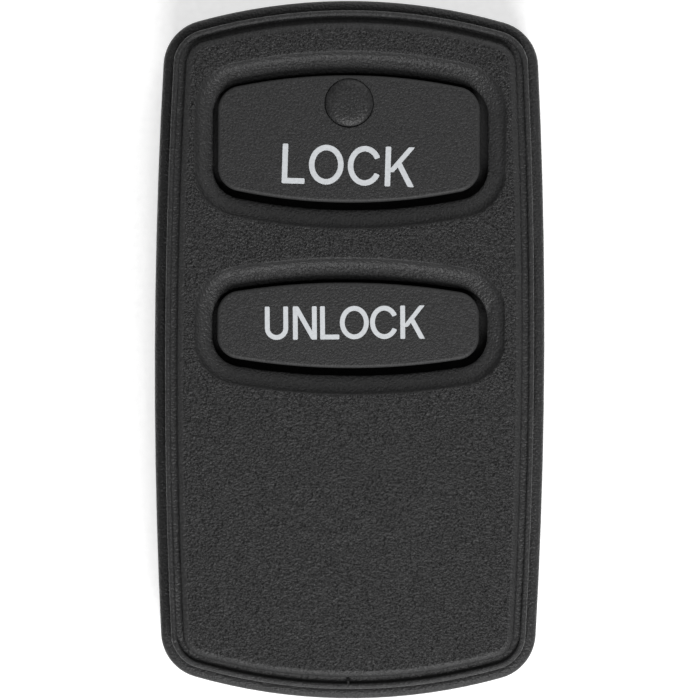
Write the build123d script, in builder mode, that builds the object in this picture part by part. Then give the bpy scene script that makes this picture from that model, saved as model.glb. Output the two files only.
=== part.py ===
"""Two-button car key fob: a two-part moulded case with its keys, pad, circuit board, coin cell and screw.

Millimetres. The rear of the case lies on Z = 0 and the keys face +Z. +Y points to the lock key's end and +X
to the right of somebody who looks at the keys. Heights build up from the rear: floor, cell, board, pad, keys
and face.
"""

import os
from collections import namedtuple
from math import asin, degrees, sqrt

from build123d import *

# Case outline, seen from the front
case_length = 58.0
case_width = 32.4
side_bow = 0.77
end_bow = 2.6
case_corner_radius = 3.9

# Heights of the case, over what it holds
cell_board_gap = 1.4
seam_rise = 0.3
collar_depth = 2.45
crown_radius = 420.0

# Rear cover
rear_wall = 1.4
rear_floor = 1.5
rear_draft = 4.0
rear_edge_radius = 1.8
rim_radius = 0.55
rim_height = 0.6

# Front cover, all insets measured inwards from the case outline
front_inset = 0.8
front_draft = 2.0
front_foot_radius = 0.18
bead_drop = 0.45
bead_outer_radius = 0.22
bead_inner_radius = 0.18
groove_inset = 1.4
groove_width = 0.53
groove_drop = 0.95
plateau_radius = 0.55
front_wall = 1.3
face_wall = 1.5

# Lip of the front cover inside the rear cover's wall, with its snap beads
lip_depth = 1.2
lip_clearance = 0.1
snap_length = 7.0
snap_height = 0.5
snap_reach = 0.22
snap_end_gap = 16.0
snap_clearance = 0.05

# Keys, placed from the case's sides and its lock end
lock_side_gap = 5.375
lock_end_gap = 6.42
lock_height = 10.5
lock_bow = 1.3
lock_corner_radius = 2.0
unlock_side_gap = 5.4
unlock_key_gap = 6.62
unlock_height = 7.06
unlock_bow = 1.02
unlock_corner_radius = 1.9
key_rest_x = -0.13
key_rest_y = 0.08
key_gap = 0.56
key_proud = 0.25
key_edge_radius = 0.25
key_wall = 1.2
key_travel = 0.5
flange_reach = 0.75
flange_thickness = 0.75
flange_clearance = 0.05
post_radius = 1.6
post_clearance = 0.05

# Dished surround of each opening
scoop_width = 1.65
scoop_depth = 0.8
scoop_slope = 30.0
scoop_radius = 0.95
flank_lip_depth = 0.3
flank_depth = 0.85
flank_length_share = 0.5

# Collar that guides each key, with the rib that clamps the pad
collar_clearance = 0.35
collar_wall = 0.8

# Lamp lens in the lock key
lens_offset_y = 2.95
lens_radius = 2.0
lens_thickness = 0.7
lens_crown = 0.3
lens_clearance = 0.03
lens_stem_radius = 1.3
lens_stem_length = 1.1

# Circuit board
board_inset = 2.55
board_thickness = 0.8
board_hole_radius = 1.3

# Rubber pad
pad_inset = 2.6
pad_thickness = 0.6
pad_end_reach = 6.5
pad_roof = 0.5
pad_dome_width = 9.0
pad_dome_height = 6.0
pad_dome_taper = 18.0
pad_dome_corner = 2.0
pad_skirt = 0.45
pad_dome_room = 0.7
nub_radius = 1.0
nub_clearance = 0.02
lamp_hole_width = 3.2
lamp_hole_height = 1.7

# Tactile switches
lock_switch_setback = 1.11
switch_size = 4.5
switch_corner = 0.3
switch_base_height = 0.65
switch_floor = 0.2
switch_well_radius = 1.75
switch_cover_thickness = 0.15
switch_tab_width = 1.6
switch_tab_drop = 0.45
switch_tab_thickness = 0.12
terminal_reach = 0.6
terminal_width = 0.5
terminal_thickness = 0.15
terminal_spacing = 3.0
dome_radius = 1.55
dome_rise = 0.22
dome_thickness = 0.06
dome_clearance = 0.02
plunger_disc_radius = 1.3
plunger_disc_thickness = 0.12
plunger_radius = 0.95
plunger_clearance = 0.08
plunger_rise = 0.35

# Lamp and chips
lamp_length = 2.0
lamp_width = 1.25
lamp_base_height = 0.35
lamp_dome_radius = 0.5
microcontroller_size = 6.0
microcontroller_height = 1.2
microcontroller_pins = 8
transmitter_length = 5.0
transmitter_width = 4.4
transmitter_height = 1.0
transmitter_pins = 7
pin_pitch = 0.65
pin_width = 0.3
pin_reach = 0.85
pin_thickness = 0.18
crystal_length = 3.2
crystal_width = 2.5
crystal_height = 0.8
crystal_wall = 0.45
crystal_gap = 0.8
chip_length = 1.6
chip_width = 0.8
capacitor_height = 0.75
resistor_height = 0.45
chip_spacing = 1.9
chip_row_gap = 0.6
antenna_inset = 0.45
antenna_width = 0.6
antenna_thickness = 0.05
antenna_pad_gap = 1.5
antenna_chip_gap = 1.2

# Coin cell and its seat
cell_radius = 10.0
cell_thickness = 3.2
cell_boss_gap = 0.5
cell_rim_radius = 0.4
cell_cap_radius = 8.2
cell_cap_step = 0.25
cell_pad_height = 0.4
cell_pad_radius = 1.3
cell_pad_place_radius = 7.0
cell_ring_clearance = 0.2
cell_ring_wall = 0.9
cell_ring_height = 2.8
cell_ring_gap = 6.0

# Battery contacts
contact_thickness = 0.2
contact_width = 4.0
contact_foot = 3.2
contact_clearance = 0.02
negative_foot_offset = 6.0
negative_reach = 2.8
negative_tip = 1.4
negative_tip_rise = 0.5

# Board ribs of the rear cover
board_rib_thickness = 1.1
board_rib_reach = 4.0
board_rib_high_gap = 17.5
board_rib_low_gap = 6.6

# Key ring pocket at the lock end
pocket_width = 9.2
pocket_length = 4.8
ring_bar_setback = 0.6
ring_bar_width = 2.1
ring_bar_height = 1.9
ring_bar_radius = 0.55
pocket_roof = 0.8
pocket_wall = 0.9
pocket_corner_radius = 0.5

# Screw
screw_end_gap = 6.2
screw_head_radius = 1.9
screw_head_height = 1.3
screw_head_edge_radius = 0.4
screw_shank_radius = 0.95
screw_length = 7.4
screw_cross_length = 2.2
screw_cross_width = 0.55
screw_cross_depth = 0.7
screw_well_radius = 2.2
screw_well_depth = 2.3
screw_hole_radius = 1.15
screw_fit_clearance = 0.04
rear_boss_radius = 3.2
front_boss_radius = 2.4
screw_tip_room = 0.2

# One length that lets every cut run past the face it opens
overrun = 1.0

# Places worked out from the sizes above
half_length = case_length / 2
half_width = case_width / 2
lip_inset = rear_wall + lip_clearance
front_inner_inset = front_inset + front_wall
plateau_inset = groove_inset + groove_width
screw_y = screw_end_gap - half_length
cell_ring_radius = cell_radius + cell_ring_clearance
cell_y = screw_y + rear_boss_radius + cell_boss_gap + cell_ring_wall + cell_ring_radius
cell_end_y = cell_y + cell_radius
cell_bottom = rear_floor + cell_pad_height
cell_top = cell_bottom + cell_thickness
board_bottom = cell_top + cell_board_gap
board_top = board_bottom + board_thickness
seam_height = board_bottom + seam_rise
lip_bottom = seam_height - lip_depth
plunger_top = board_top + switch_base_height + switch_cover_thickness + plunger_rise
pad_sheet_top = board_top + pad_thickness
pad_top = pad_sheet_top + key_travel + pad_dome_room
collar_height = pad_top + flange_thickness + flange_clearance
face_height = collar_height + collar_depth
ceiling_height = face_height - face_wall
crown_centre_height = face_height - crown_radius
ring_bar_y = half_length - ring_bar_setback - ring_bar_width / 2
pocket_outer_y = ring_bar_y - ring_bar_width / 2
pocket_inner_y = pocket_outer_y - pocket_length
pocket_roof_height = lip_bottom - lip_clearance - pocket_roof
lock_opening_y = half_length - lock_end_gap - lock_height / 2
lock_switch_y = lock_opening_y + key_rest_y - lock_switch_setback
unlock_opening_y = lock_opening_y - lock_height / 2 - unlock_key_gap - unlock_height / 2
unlock_switch_y = unlock_opening_y + key_rest_y
pad_end_y = unlock_switch_y - pad_end_reach

# Places on the board, from the pad's end and the inner side of the antenna
parts_top_y = pad_end_y - chip_row_gap
antenna_end_y = pad_end_y - antenna_pad_gap
antenna_inner_x = half_width - board_inset - antenna_inset - antenna_width
microcontroller_reach = microcontroller_size / 2 + pin_reach
microcontroller_x = antenna_chip_gap + microcontroller_reach - antenna_inner_x
transmitter_x = antenna_inner_x - antenna_chip_gap - transmitter_length / 2
transmitter_y = parts_top_y - pin_reach - transmitter_width / 2
crystal_y = transmitter_y - transmitter_width / 2 - pin_reach - crystal_gap - crystal_width / 2
capacitor_row_y = parts_top_y - chip_width / 2
microcontroller_y = capacitor_row_y - chip_width / 2 - chip_row_gap - microcontroller_reach
resistor_x = (microcontroller_x + microcontroller_reach + transmitter_x - transmitter_length / 2) / 2
resistor_y = parts_top_y - (chip_spacing + chip_width) / 2

standing = (Align.CENTER, Align.CENTER, Align.MIN)

Key = namedtuple("Key", "width height bow corner opening_y switch_y")
lock = Key(
    case_width - 2 * lock_side_gap, lock_height, lock_bow, lock_corner_radius, lock_opening_y, lock_switch_y
)
unlock = Key(
    case_width - 2 * unlock_side_gap,
    unlock_height,
    unlock_bow,
    unlock_corner_radius,
    unlock_opening_y,
    unlock_switch_y,
)


def bow_radius(half_span, bow):
    """The radius of an arc that bows out by so much over a half span."""
    return (half_span**2 + bow**2) / (2 * bow)


def apex_arc(radius, base, rise):
    """Half of a dome's arc, from its apex on the axis to its edge, centred exactly on the axis."""
    arc_radius = bow_radius(radius, rise)
    return CenterArc((0, base + rise - arc_radius), arc_radius, 90, -degrees(asin(radius / arc_radius)))


def case_outline(inset, height):
    """The case's outline, drawn in by an inset, at a height: side arcs and end arcs with rounded corners."""
    side_radius = bow_radius(half_length - end_bow, side_bow)
    end_radius = bow_radius(half_width - side_bow, end_bow)
    side_centre, end_centre = side_radius - half_width, end_radius - half_length
    side_reach, end_reach = side_radius - inset, end_radius - inset
    span = sqrt(side_centre**2 + end_centre**2)
    along = (side_reach**2 - end_reach**2 + span**2) / (2 * span)
    across = sqrt(side_reach**2 - along**2)
    corner_x = (along * side_centre + across * end_centre) / span - side_centre
    corner_y = (across * side_centre - along * end_centre) / span
    side_x, end_y = half_width - inset, half_length - inset
    with BuildSketch(Plane.XY.offset(height)) as outline:
        with BuildLine():
            ThreePointArc((corner_x, -corner_y), (side_x, 0), (corner_x, corner_y))
            ThreePointArc((corner_x, corner_y), (0, end_y), (-corner_x, corner_y))
            ThreePointArc((-corner_x, corner_y), (-side_x, 0), (-corner_x, -corner_y))
            ThreePointArc((-corner_x, -corner_y), (0, -end_y), (corner_x, -corner_y))
        make_face()
        fillet(outline.vertices(), case_corner_radius - inset)
    return outline.sketch


def side_at(inset, y):
    """How far out the case's side stands at a place along it, drawn in by an inset."""
    side_radius = bow_radius(half_length - end_bow, side_bow)
    return half_width - side_radius + sqrt((side_radius - inset) ** 2 - y**2)


def key_outline(key, growth, plane):
    """A key's bowed outline, grown outwards, centred on a plane's origin."""
    arc_radius = bow_radius(key.width / 2, key.bow)
    top_y = key.height / 2 + growth
    side_x = key.width / 2 + growth
    side_y = top_y - arc_radius - growth + sqrt((arc_radius + growth) ** 2 - side_x**2)
    with BuildSketch(plane) as outline:
        with BuildLine():
            Line((side_x, -side_y), (side_x, side_y))
            ThreePointArc((side_x, side_y), (0, top_y), (-side_x, side_y))
            Line((-side_x, side_y), (-side_x, -side_y))
            ThreePointArc((-side_x, -side_y), (0, -top_y), (side_x, -side_y))
        make_face()
        fillet(outline.vertices(), key.corner + growth)
    return outline.sketch


def opening_plane(key, height):
    """The level plane under a key's opening, centred on the opening."""
    return Plane((0, key.opening_y, height))


def key_plane(key, height):
    """The level plane under a key where it rests, a little off the middle of its opening."""
    return Plane((key_rest_x, key.opening_y + key_rest_y, height))


def under_crown(drop):
    """Keep what lies below the face's crown, lowered by a drop."""
    with Locations((0, 0, crown_centre_height)):
        Sphere(crown_radius - drop, rotation=(0, 90, 0), mode=Mode.INTERSECT)


def top_edges(solid):
    """The edges round a solid's highest face."""
    return solid.faces().sort_by(Axis.Z)[-1].edges()


# Front cover: the raised face, the groove and the hollow are each a block of their own
with BuildPart() as plateau:
    extrude(case_outline(plateau_inset, collar_height), amount=face_height - collar_height)
    under_crown(0)
    fillet(top_edges(plateau), plateau_radius)

with BuildPart() as groove:
    extrude(case_outline(groove_inset, seam_height), amount=face_height - seam_height)
    with Locations((0, 0, crown_centre_height)):
        Sphere(crown_radius - groove_drop, rotation=(0, 90, 0), mode=Mode.SUBTRACT)

with BuildPart() as front_hollow:
    extrude(case_outline(front_inner_inset, lip_bottom), amount=face_height - lip_bottom)
    under_crown(face_wall)


def scoop(key):
    """The dished cut round a key's opening, square to the crown there, with a sloping flank at each end."""
    normal = Vector(0, key.opening_y, sqrt(crown_radius**2 - key.opening_y**2))
    face_point = (0, key.opening_y, crown_centre_height + normal.Z)
    tangent = Plane(face_point, x_dir=(1, 0, 0), z_dir=normal)
    end_x = key.width / 2 + key_gap
    flank_length = key.height * flank_length_share
    lip = key_outline(key, key_gap + scoop_width, tangent)
    with BuildPart() as dish:
        extrude(lip, amount=scoop_depth, dir=-tangent.z_dir, taper=scoop_slope)
        fillet(dish.faces().sort_by(Axis.Z)[0].edges(), scoop_radius)
        extrude(lip, amount=overrun)
        for side in (-1, 1):
            profile_plane = Plane(tangent.origin, x_dir=(side, 0, 0), z_dir=(0, -side, 0))
            with BuildSketch(profile_plane):
                with BuildLine():
                    Polyline(
                        (end_x, -flank_depth),
                        (end_x + scoop_width, -flank_lip_depth),
                        (end_x + scoop_width, overrun),
                        (end_x, overrun),
                        close=True,
                    )
                make_face()
            extrude(amount=flank_length / 2, both=True)
    return dish.part


snap_spacing = case_length - 2 * snap_end_gap
snap_x = side_at(lip_inset, snap_spacing / 2)

with BuildPart() as front_cover:
    extrude(case_outline(front_inset, seam_height), amount=face_height - seam_height, taper=front_draft)
    fillet(front_cover.faces().sort_by(Axis.Z)[0].edges(), front_foot_radius)
    under_crown(bead_drop)
    fillet(top_edges(front_cover), bead_outer_radius)
    add(groove.part, mode=Mode.SUBTRACT)
    bead_top = front_cover.faces().sort_by(Axis.Z)[-1]
    fillet(bead_top.inner_wires()[0].edges(), bead_inner_radius)
    add(plateau.part)
    extrude(case_outline(lip_inset, lip_bottom), amount=lip_depth)
    add(front_hollow.part, mode=Mode.SUBTRACT)
    # Snap beads on the outside of the lip
    with Locations((0, 0, seam_height - lip_depth / 2)):
        with GridLocations(2 * snap_x, snap_spacing, 2, 2):
            Box(2 * snap_reach, snap_length, snap_height)
    # A guide collar and clamp rib round each key, then the flange's pocket, the dish and the opening
    for key in (lock, unlock):
        rib_growth = key_gap + flange_reach + collar_clearance
        extrude(
            key_outline(key, rib_growth + collar_wall, opening_plane(key, pad_sheet_top)),
            amount=ceiling_height - pad_sheet_top,
        )
    for key in (lock, unlock):
        extrude(
            key_outline(key, rib_growth, opening_plane(key, pad_sheet_top)),
            amount=collar_height - pad_sheet_top,
            mode=Mode.SUBTRACT,
        )
        add(scoop(key), mode=Mode.SUBTRACT)
        extrude(
            key_outline(key, key_gap, opening_plane(key, collar_height - overrun)),
            amount=face_height + overrun - collar_height + overrun,
            mode=Mode.SUBTRACT,
        )
    # The boss that takes the screw
    with Locations((0, screw_y, board_top)):
        Cylinder(front_boss_radius, ceiling_height - board_top, align=standing)
        Cylinder(
            screw_shank_radius + screw_fit_clearance,
            screw_well_depth + screw_length + screw_tip_room - board_top,
            align=standing,
            mode=Mode.SUBTRACT,
        )

# Rear cover: a drafted tub with a rounded rim
with BuildPart() as cell_ring:
    with Locations((0, cell_y, rear_floor)):
        Cylinder(cell_ring_radius + cell_ring_wall, cell_ring_height, align=standing)
        Cylinder(cell_ring_radius, cell_ring_height, align=standing, mode=Mode.SUBTRACT)
    with Locations((0, cell_end_y, rear_floor)):
        Box(cell_ring_gap, cell_radius, cell_ring_height, align=standing, mode=Mode.SUBTRACT)

with BuildPart() as rear_body:
    rim_bottom = seam_height - rim_height
    extrude(case_outline(0, rim_bottom), amount=rim_bottom, dir=(0, 0, -1), taper=rear_draft)
    fillet(rear_body.faces().sort_by(Axis.Z)[0].edges(), rear_edge_radius)
    extrude(case_outline(0, rim_bottom), amount=rim_height)
    fillet(top_edges(rear_body), rim_radius)

pocket_middle_y = (pocket_inner_y + pocket_outer_y) / 2

with BuildPart() as ring_pocket:
    with BuildSketch(Plane((0, pocket_middle_y, 0))):
        RectangleRounded(pocket_width, pocket_length, pocket_corner_radius)
    extrude(amount=pocket_roof_height)

with BuildPart() as ring_exit:
    with BuildSketch(Plane.XZ.offset(-pocket_middle_y)):
        RectangleRounded(pocket_width, 2 * pocket_roof_height, pocket_corner_radius)
    extrude(amount=-(half_length - pocket_middle_y + overrun))

with BuildPart() as ring_bar:
    with BuildSketch(Plane.YZ):
        with Locations((ring_bar_y, ring_bar_height / 2)):
            RectangleRounded(ring_bar_width, ring_bar_height, ring_bar_radius)
    extrude(amount=pocket_width / 2 + pocket_wall, both=True)
    add(rear_body.part, mode=Mode.INTERSECT)

with BuildPart() as lip_room:
    extrude(case_outline(rear_wall, lip_bottom - lip_clearance), amount=lip_depth + lip_clearance)
    extrude(
        case_outline(front_inner_inset + lip_clearance, lip_bottom - lip_clearance),
        amount=lip_depth + lip_clearance,
        mode=Mode.SUBTRACT,
    )

with BuildPart() as rear_hollow:
    extrude(case_outline(rear_wall, rear_floor), amount=seam_height - rear_floor)
    with Locations((0, pocket_inner_y - pocket_wall, rear_floor)):
        Box(
            pocket_width + 2 * pocket_wall,
            case_length,
            pocket_roof_height + pocket_roof - rear_floor,
            align=(Align.CENTER, Align.MIN, Align.MIN),
            mode=Mode.SUBTRACT,
        )

with BuildPart() as rear_cover:
    add(rear_body.part)
    add(rear_hollow.part, mode=Mode.SUBTRACT)
    # Seat and pads of the coin cell
    add(cell_ring.part)
    with Locations((0, cell_y, rear_floor)):
        with PolarLocations(cell_pad_place_radius, 3):
            Cylinder(cell_pad_radius, cell_pad_height, align=standing)
    # Ribs under the board's edges
    for rib_y in (half_length - board_rib_high_gap, board_rib_low_gap - half_length):
        for side in (-1, 1):
            rib_x = side * (side_at(rear_wall / 2, rib_y) - board_rib_reach / 2)
            with Locations((rib_x, rib_y, rear_floor)):
                Box(board_rib_reach, board_rib_thickness, board_bottom - rear_floor, align=standing)
    add(lip_room.part, mode=Mode.SUBTRACT)
    # The key ring's pocket and its way out through the end wall, with the bar across it
    add(ring_pocket.part, mode=Mode.SUBTRACT)
    add(ring_exit.part, mode=Mode.SUBTRACT)
    add(ring_bar.part)
    # Boss, well and hole of the screw
    with Locations((0, screw_y, 0)):
        Cylinder(rear_boss_radius, board_bottom, align=standing)
        Cylinder(screw_well_radius, screw_well_depth, align=standing, mode=Mode.SUBTRACT)
        Cylinder(screw_hole_radius, board_bottom, align=standing, mode=Mode.SUBTRACT)
    # Grooves for the front cover's snap beads
    with Locations((0, 0, seam_height - lip_depth / 2)):
        with GridLocations(2 * snap_x, snap_spacing, 2, 2):
            Box(
                2 * (snap_reach + snap_clearance),
                snap_length + 2 * snap_clearance,
                snap_height + 2 * snap_clearance,
                mode=Mode.SUBTRACT,
            )


def crown_height(y, drop):
    """The height of the crown over the middle line at a place along the case, lowered by a drop."""
    return crown_centre_height + sqrt((crown_radius - drop) ** 2 - y**2)


# Keys: a hollow cap with a bowed outline, a flange that the collar holds down and a post over the switch
def key_hollow(key):
    """The hollow inside a key, which leaves its wall all round and its top."""
    with BuildPart() as hollow:
        inside = key_outline(key, -key_wall, key_plane(key, pad_top))
        extrude(inside, amount=face_height - pad_top)
        under_crown(key_wall - key_proud)
    return hollow.part


def key_cap(key):
    """A key without what only one of the two has."""
    with BuildPart() as cap:
        outside = key_outline(key, 0, key_plane(key, pad_top))
        extrude(outside, amount=face_height + overrun - pad_top)
        under_crown(-key_proud)
        fillet(top_edges(cap), key_edge_radius)
        extrude(
            key_outline(key, key_gap + flange_reach, key_plane(key, pad_top)), amount=flange_thickness
        )
        add(key_hollow(key), mode=Mode.SUBTRACT)
        with Locations((key_rest_x, key.switch_y, pad_top + post_clearance)):
            Cylinder(post_radius, face_height - key_wall / 2 - pad_top - post_clearance, align=standing)
    return cap.part


lens_y = lock_opening_y + key_rest_y + lens_offset_y
lens_edge_height = crown_height(lens_y, -key_proud)
lens_seat_height = lens_edge_height - lens_thickness

with BuildPart() as lock_button:
    add(key_cap(lock))
    with Locations((key_rest_x, lens_y, lens_seat_height)):
        Cylinder(lens_radius + lens_clearance, lens_thickness + overrun, align=standing, mode=Mode.SUBTRACT)
        Cylinder(lens_stem_radius + lens_clearance, 2 * key_wall, mode=Mode.SUBTRACT)

with BuildPart() as unlock_button:
    add(key_cap(unlock))

# Lamp lens: a low dome over a disc, with a stem that brings the light up
with BuildPart() as lamp_lens:
    with BuildSketch(Plane((key_rest_x, lens_y, lens_seat_height), z_dir=(0, -1, 0), x_dir=(1, 0, 0))):
        with BuildLine():
            Polyline(
                (0, lens_thickness + lens_crown),
                (0, -lens_stem_length),
                (lens_stem_radius, -lens_stem_length),
                (lens_stem_radius, 0),
                (lens_radius, 0),
                (lens_radius, lens_thickness),
            )
            apex_arc(lens_radius, lens_thickness, lens_crown)
        make_face()
    revolve(axis=Axis((key_rest_x, lens_y, 0), (0, 0, 1)))

# Rubber pad: a sheet on the board with a hollow dome under each key
with BuildPart() as button_pad:
    extrude(case_outline(pad_inset, board_top), amount=pad_thickness)
    with Locations((0, pad_end_y, board_top)):
        Box(
            case_width,
            case_length,
            pad_thickness,
            align=(Align.CENTER, Align.MAX, Align.MIN),
            mode=Mode.SUBTRACT,
        )
    for key in (lock, unlock):
        with BuildSketch(Plane((key_rest_x, key.switch_y, pad_sheet_top))):
            RectangleRounded(pad_dome_width, pad_dome_height, pad_dome_corner)
        extrude(amount=pad_top - pad_sheet_top, taper=pad_dome_taper)
        with BuildSketch(Plane((key_rest_x, key.switch_y, pad_sheet_top))):
            RectangleRounded(
                pad_dome_width - 2 * pad_skirt, pad_dome_height - 2 * pad_skirt, pad_dome_corner - pad_skirt
            )
        extrude(amount=pad_top - pad_roof - pad_sheet_top, taper=pad_dome_taper, mode=Mode.SUBTRACT)
        with BuildSketch(Plane((key_rest_x, key.switch_y, board_top))):
            RectangleRounded(
                pad_dome_width - 2 * pad_skirt, pad_dome_height - 2 * pad_skirt, pad_dome_corner - pad_skirt
            )
        extrude(amount=pad_thickness, mode=Mode.SUBTRACT)
        with Locations((key_rest_x, key.switch_y, plunger_top + nub_clearance)):
            Cylinder(nub_radius, pad_top - pad_roof / 2 - plunger_top - nub_clearance, align=standing)
    with BuildSketch(Plane((key_rest_x, lens_y, board_top))):
        RectangleRounded(lamp_hole_width, lamp_hole_height, lamp_hole_height / 4)
    extrude(amount=pad_thickness, mode=Mode.SUBTRACT)

# Circuit board and the copper loop on it
with BuildPart() as circuit_board:
    extrude(case_outline(board_inset, board_bottom), amount=board_thickness)
    with Locations((0, screw_y, board_bottom)):
        Cylinder(board_hole_radius, board_thickness, align=standing, mode=Mode.SUBTRACT)

with BuildPart() as loop_antenna:
    loop_inset = board_inset + antenna_inset
    inner_inset = loop_inset + antenna_width
    extrude(case_outline(loop_inset, board_top), amount=antenna_thickness)
    extrude(case_outline(inner_inset, board_top), amount=antenna_thickness, mode=Mode.SUBTRACT)
    with Locations((0, antenna_end_y, board_top)):
        Box(
            case_width,
            case_length,
            antenna_thickness,
            align=(Align.CENTER, Align.MIN, Align.MIN),
            mode=Mode.SUBTRACT,
        )


# Tactile switches: base with a well, snap dome, plunger and sheet-metal cover
def switch_base(key):
    """The moulded base, with its well and its four terminals."""
    with BuildPart() as base:
        with BuildSketch(Plane((key_rest_x, key.switch_y, board_top))):
            RectangleRounded(switch_size, switch_size, switch_corner)
        extrude(amount=switch_base_height)
        with Locations((key_rest_x, key.switch_y, board_top)):
            with GridLocations(switch_size + terminal_reach / 2, terminal_spacing, 2, 2):
                Box(terminal_reach, terminal_width, terminal_thickness, align=standing)
        with Locations((key_rest_x, key.switch_y, board_top + switch_floor)):
            Cylinder(switch_well_radius, switch_base_height, align=standing, mode=Mode.SUBTRACT)
    return base


def switch_cover(key):
    """The sheet-metal cover, with the plunger's hole and a tab folded down at each side."""
    tab_y = (switch_size + switch_tab_thickness) / 2
    with BuildPart() as cover:
        with Locations((key_rest_x, key.switch_y, board_top + switch_base_height)):
            Box(switch_size, switch_size + 2 * switch_tab_thickness, switch_cover_thickness, align=standing)
            Cylinder(plunger_radius + plunger_clearance, 2 * switch_cover_thickness, mode=Mode.SUBTRACT)
            with GridLocations(0, 2 * tab_y, 1, 2):
                Box(
                    switch_tab_width,
                    switch_tab_thickness,
                    switch_tab_drop,
                    align=(Align.CENTER, Align.CENTER, Align.MAX),
                )
    return cover


def switch_dome(key):
    """The thin snap dome on the floor of the well."""
    with BuildPart() as dome:
        rim_middle = (key_rest_x, key.switch_y, board_top + switch_floor)
        rim_plane = Plane(rim_middle, x_dir=(1, 0, 0), z_dir=(0, -1, 0))
        with BuildSketch(rim_plane):
            with BuildLine():
                Line((0, dome_rise), (0, dome_rise + dome_thickness))
                apex_arc(dome_radius, dome_thickness, dome_rise)
                Line((dome_radius, dome_thickness), (dome_radius, 0))
                apex_arc(dome_radius, 0, dome_rise)
            make_face()
        revolve(axis=Axis((key_rest_x, key.switch_y, 0), (0, 0, 1)))
    return dome


def switch_plunger(key):
    """The plunger: a disc on the dome and a stem that stands out of the cover."""
    disc_height = board_top + switch_floor + dome_rise + dome_thickness + dome_clearance
    with BuildPart() as plunger:
        with Locations((key_rest_x, key.switch_y, disc_height)):
            Cylinder(plunger_disc_radius, plunger_disc_thickness, align=standing)
            Cylinder(plunger_radius, plunger_top - disc_height, align=standing)
    return plunger


# Lamp and chips
with BuildPart() as indicator_lamp:
    with Locations((key_rest_x, lens_y, board_top)):
        Box(lamp_length, lamp_width, lamp_base_height, align=standing)
    with Locations((key_rest_x, lens_y, board_top + lamp_base_height)):
        Sphere(lamp_dome_radius, arc_size1=0)


def add_pins(body_length, rows, pins):
    """Rows of pins round a chip, standing where its Locations are."""
    with PolarLocations((body_length + pin_reach) / 2, rows, start_angle=90):
        with GridLocations(0, pin_pitch, 1, pins):
            Box(pin_reach, pin_width, pin_thickness, align=standing)


with BuildPart() as microcontroller:
    with Locations((microcontroller_x, microcontroller_y, board_top)):
        Box(microcontroller_size, microcontroller_size, microcontroller_height, align=standing)
        add_pins(microcontroller_size, 4, microcontroller_pins)

with BuildPart() as transmitter_chip:
    with Locations((transmitter_x, transmitter_y, board_top)):
        Box(transmitter_length, transmitter_width, transmitter_height, align=standing)
        add_pins(transmitter_width, 2, transmitter_pins)

with BuildPart() as crystal:
    with BuildSketch(Plane((transmitter_x, crystal_y, board_top))):
        RectangleRounded(crystal_length, crystal_width, crystal_wall)
    extrude(amount=crystal_height / 3)
    with BuildSketch(Plane((transmitter_x, crystal_y, board_top))):
        RectangleRounded(crystal_length - crystal_wall, crystal_width - crystal_wall, crystal_wall)
    extrude(amount=crystal_height)

with BuildPart() as chip_capacitors:
    with Locations((microcontroller_x, capacitor_row_y, board_top)):
        with GridLocations(chip_spacing, 0, 4, 1):
            Box(chip_length, chip_width, capacitor_height, align=standing)

with BuildPart() as chip_resistors:
    with Locations((resistor_x, resistor_y, board_top)):
        with GridLocations(chip_spacing, chip_spacing, 2, 2):
            Box(chip_length, chip_width, resistor_height, align=standing)

# Coin cell and its two sprung contacts
with BuildPart() as coin_cell:
    with Locations((0, cell_y, cell_bottom)):
        Cylinder(cell_radius, cell_thickness - cell_cap_step, align=standing)
    fillet(coin_cell.edges().sort_by(Axis.Z)[0], cell_rim_radius)
    with Locations((0, cell_y, cell_bottom)):
        Cylinder(cell_cap_radius, cell_thickness, align=standing)

contact_top = board_bottom - contact_thickness / 2

with BuildPart() as battery_positive_contact:
    leg_y = cell_end_y + contact_clearance + contact_thickness / 2
    with BuildSketch(Plane.YZ):
        with BuildLine():
            Polyline(
                (leg_y + contact_foot, contact_top),
                (leg_y, contact_top),
                (leg_y, (cell_bottom + cell_top) / 2),
            )
        trace(line_width=contact_thickness)
    extrude(amount=contact_width / 2, both=True)

with BuildPart() as battery_negative_contact:
    negative_foot_y = cell_y + negative_foot_offset
    bend_y = negative_foot_y - contact_foot
    touch_height = cell_top + contact_clearance + contact_thickness / 2
    with BuildSketch(Plane.YZ):
        with BuildLine():
            Polyline(
                (negative_foot_y, contact_top),
                (bend_y, contact_top),
                (bend_y - negative_reach, touch_height),
                (bend_y - negative_reach - negative_tip, touch_height + negative_tip_rise),
            )
        trace(line_width=contact_thickness)
    extrude(amount=contact_width / 2, both=True)

# Screw, seen from the back: a rounded head with a cross, and a plain shank for its thread
with BuildPart() as cover_screw:
    with Locations((0, screw_y, screw_well_depth - screw_head_height)):
        Cylinder(screw_head_radius, screw_head_height, align=standing)
    fillet(cover_screw.edges().sort_by(Axis.Z)[0], screw_head_edge_radius)
    with Locations((0, screw_y, screw_well_depth)):
        Cylinder(screw_shank_radius, screw_length, align=standing)
    chamfer(cover_screw.edges().sort_by(Axis.Z)[-1], screw_shank_radius / 3)
    with Locations((0, screw_y, screw_well_depth - screw_head_height)):
        Box(screw_cross_length, screw_cross_width, screw_cross_depth, align=standing, mode=Mode.SUBTRACT)
        Box(screw_cross_width, screw_cross_length, screw_cross_depth, align=standing, mode=Mode.SUBTRACT)

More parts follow.
